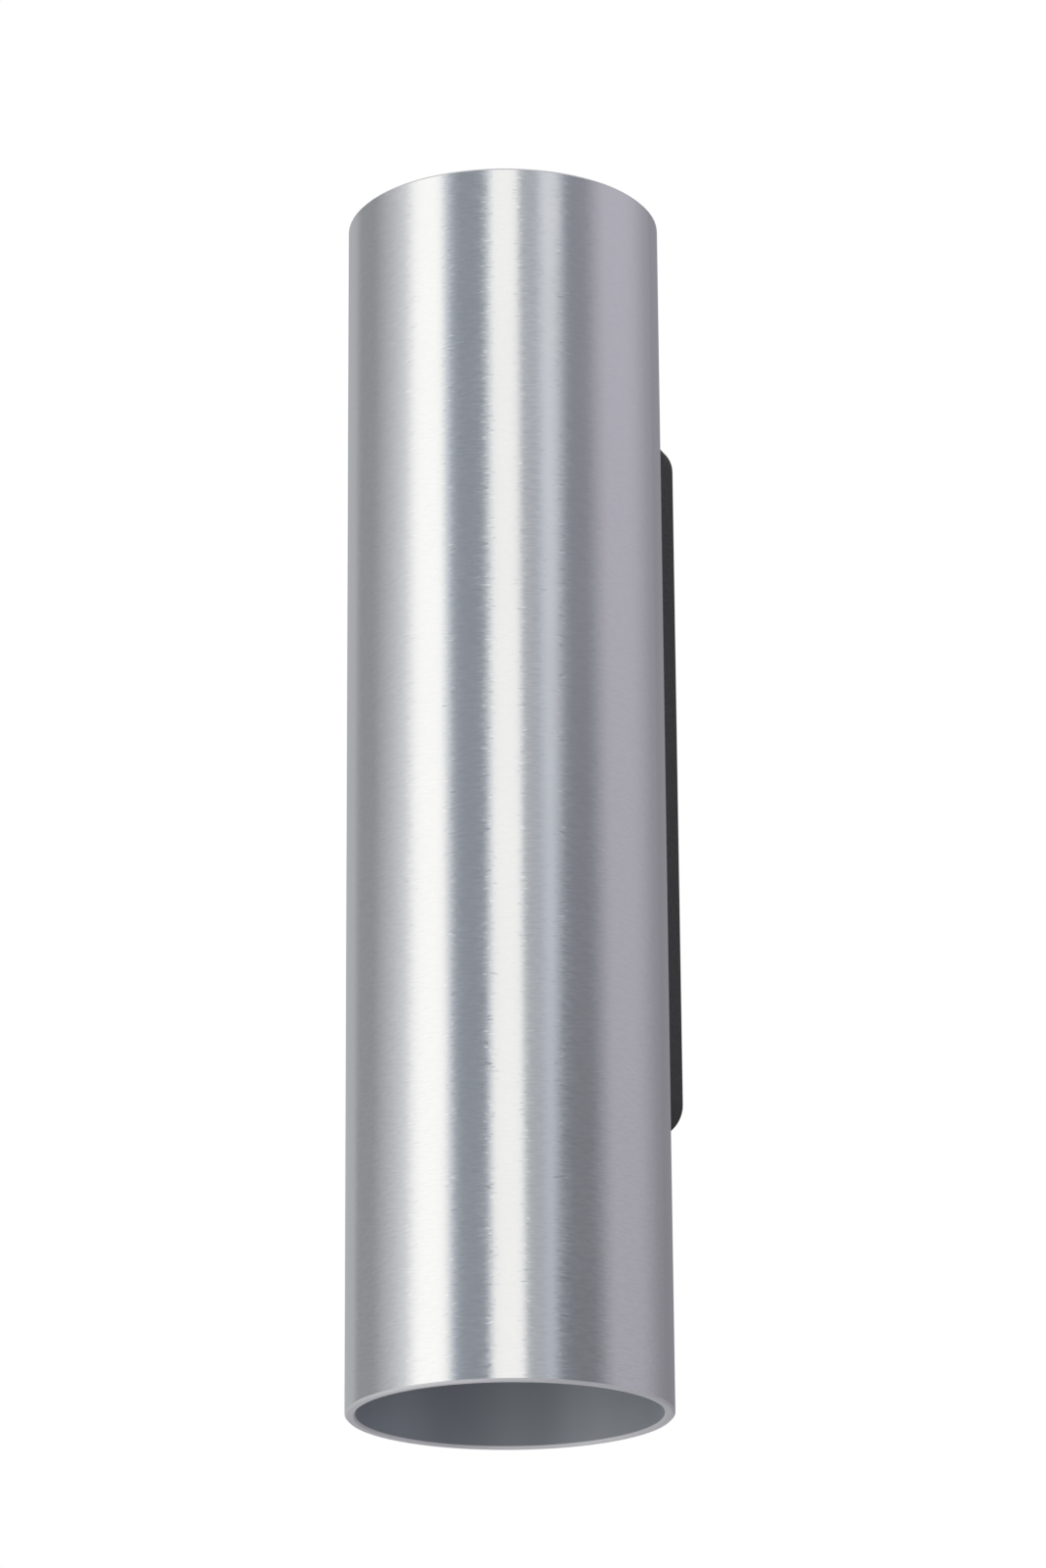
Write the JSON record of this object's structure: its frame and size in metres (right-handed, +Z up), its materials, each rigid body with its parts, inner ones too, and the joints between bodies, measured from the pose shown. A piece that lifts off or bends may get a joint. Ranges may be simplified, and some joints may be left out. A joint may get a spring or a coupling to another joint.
{
  "type": "tube wall light",
  "caption": "Open round tube on a slim wall box, with a twist-lock spot lamp facing up and another facing down.",
  "frame": {"origin": "on the wall, at the middle of the wall bracket and of the back box", "axes": "+Z up along the tube, +Y into the wall, -Y the front; azimuth 0 looks along +Y"},
  "size_m": [0.064, 0.08, 0.25],
  "materials": {
    "brushed_tube": "brushed around the tube, satin",
    "black_box": "fine matt powder coat",
    "zinc_steel": "zinc plated",
    "black_screw": "black oxide, satin",
    "black_rubber": "matt",
    "brass": "bare, satin",
    "terminal_plastic": "moulded, fine satin",
    "tinned_copper": "tin plated, satin",
    "brown_insulation": "satin sleeve",
    "blue_insulation": "satin sleeve",
    "green_yellow_insulation": "two-colour satin sleeve",
    "ceramic": "unglazed white ceramic, faint speckle",
    "lamp_housing": "moulded, satin",
    "lamp_lens": "clear moulding with a frosted front",
    "lamp_board": "white solder mask with yellow chips",
    "nickel_pins": "nickel plated"
  },
  "bodies": {
    "fitting": {"outer_tube": "brushed_tube", "back_box": "black_box", "wall_bracket": "zinc_steel", "box_fixing_screws": "black_screw", "cable_entry_grommet": "black_rubber", "bracket_earth_screw": "brass", "bracket_earth_washer": "brass", "terminal_block": "terminal_plastic", "terminal_inserts": "brass", "terminal_screws": "zinc_steel", "terminal_block_screws": "zinc_steel", "tube_fixing_screws": "zinc_steel", "tube_fixing_washers": "zinc_steel", "lead_grommet": "black_rubber", "lamp_carrier": "zinc_steel", "carrier_nuts": "zinc_steel", "lampholder_screws": "zinc_steel", "lampholder_nuts": "zinc_steel", "earth_tag": "tinned_copper", "earth_tag_screw": "brass", "live_leads": "brown_insulation", "neutral_leads": "blue_insulation", "earth_lead": "green_yellow_insulation", "upper_lampholder": "ceramic", "lower_lampholder": "ceramic", "upper_contacts": "tinned_copper", "lower_contacts": "tinned_copper"},
    "upper_lamp": {"upper_lamp_body": "lamp_housing", "upper_lamp_lens": "lamp_lens", "upper_lamp_board": "lamp_board", "upper_lamp_pins": "nickel_pins"},
    "lower_lamp": {"lower_lamp_body": "lamp_housing", "lower_lamp_lens": "lamp_lens", "lower_lamp_board": "lamp_board", "lower_lamp_pins": "nickel_pins"}
  },
  "joints": [
    {"name": "upper_lamp_twist", "type": "hinge", "parent": "fitting", "child": "upper_lamp", "pos_m": [0, -0.048, 0.033], "axis": [0, 0, 1], "range_deg": [0, 20]},
    {"name": "lower_lamp_twist", "type": "hinge", "parent": "fitting", "child": "lower_lamp", "pos_m": [0, -0.048, -0.067], "axis": [0, 0, -1], "range_deg": [0, 20]}
  ]
}
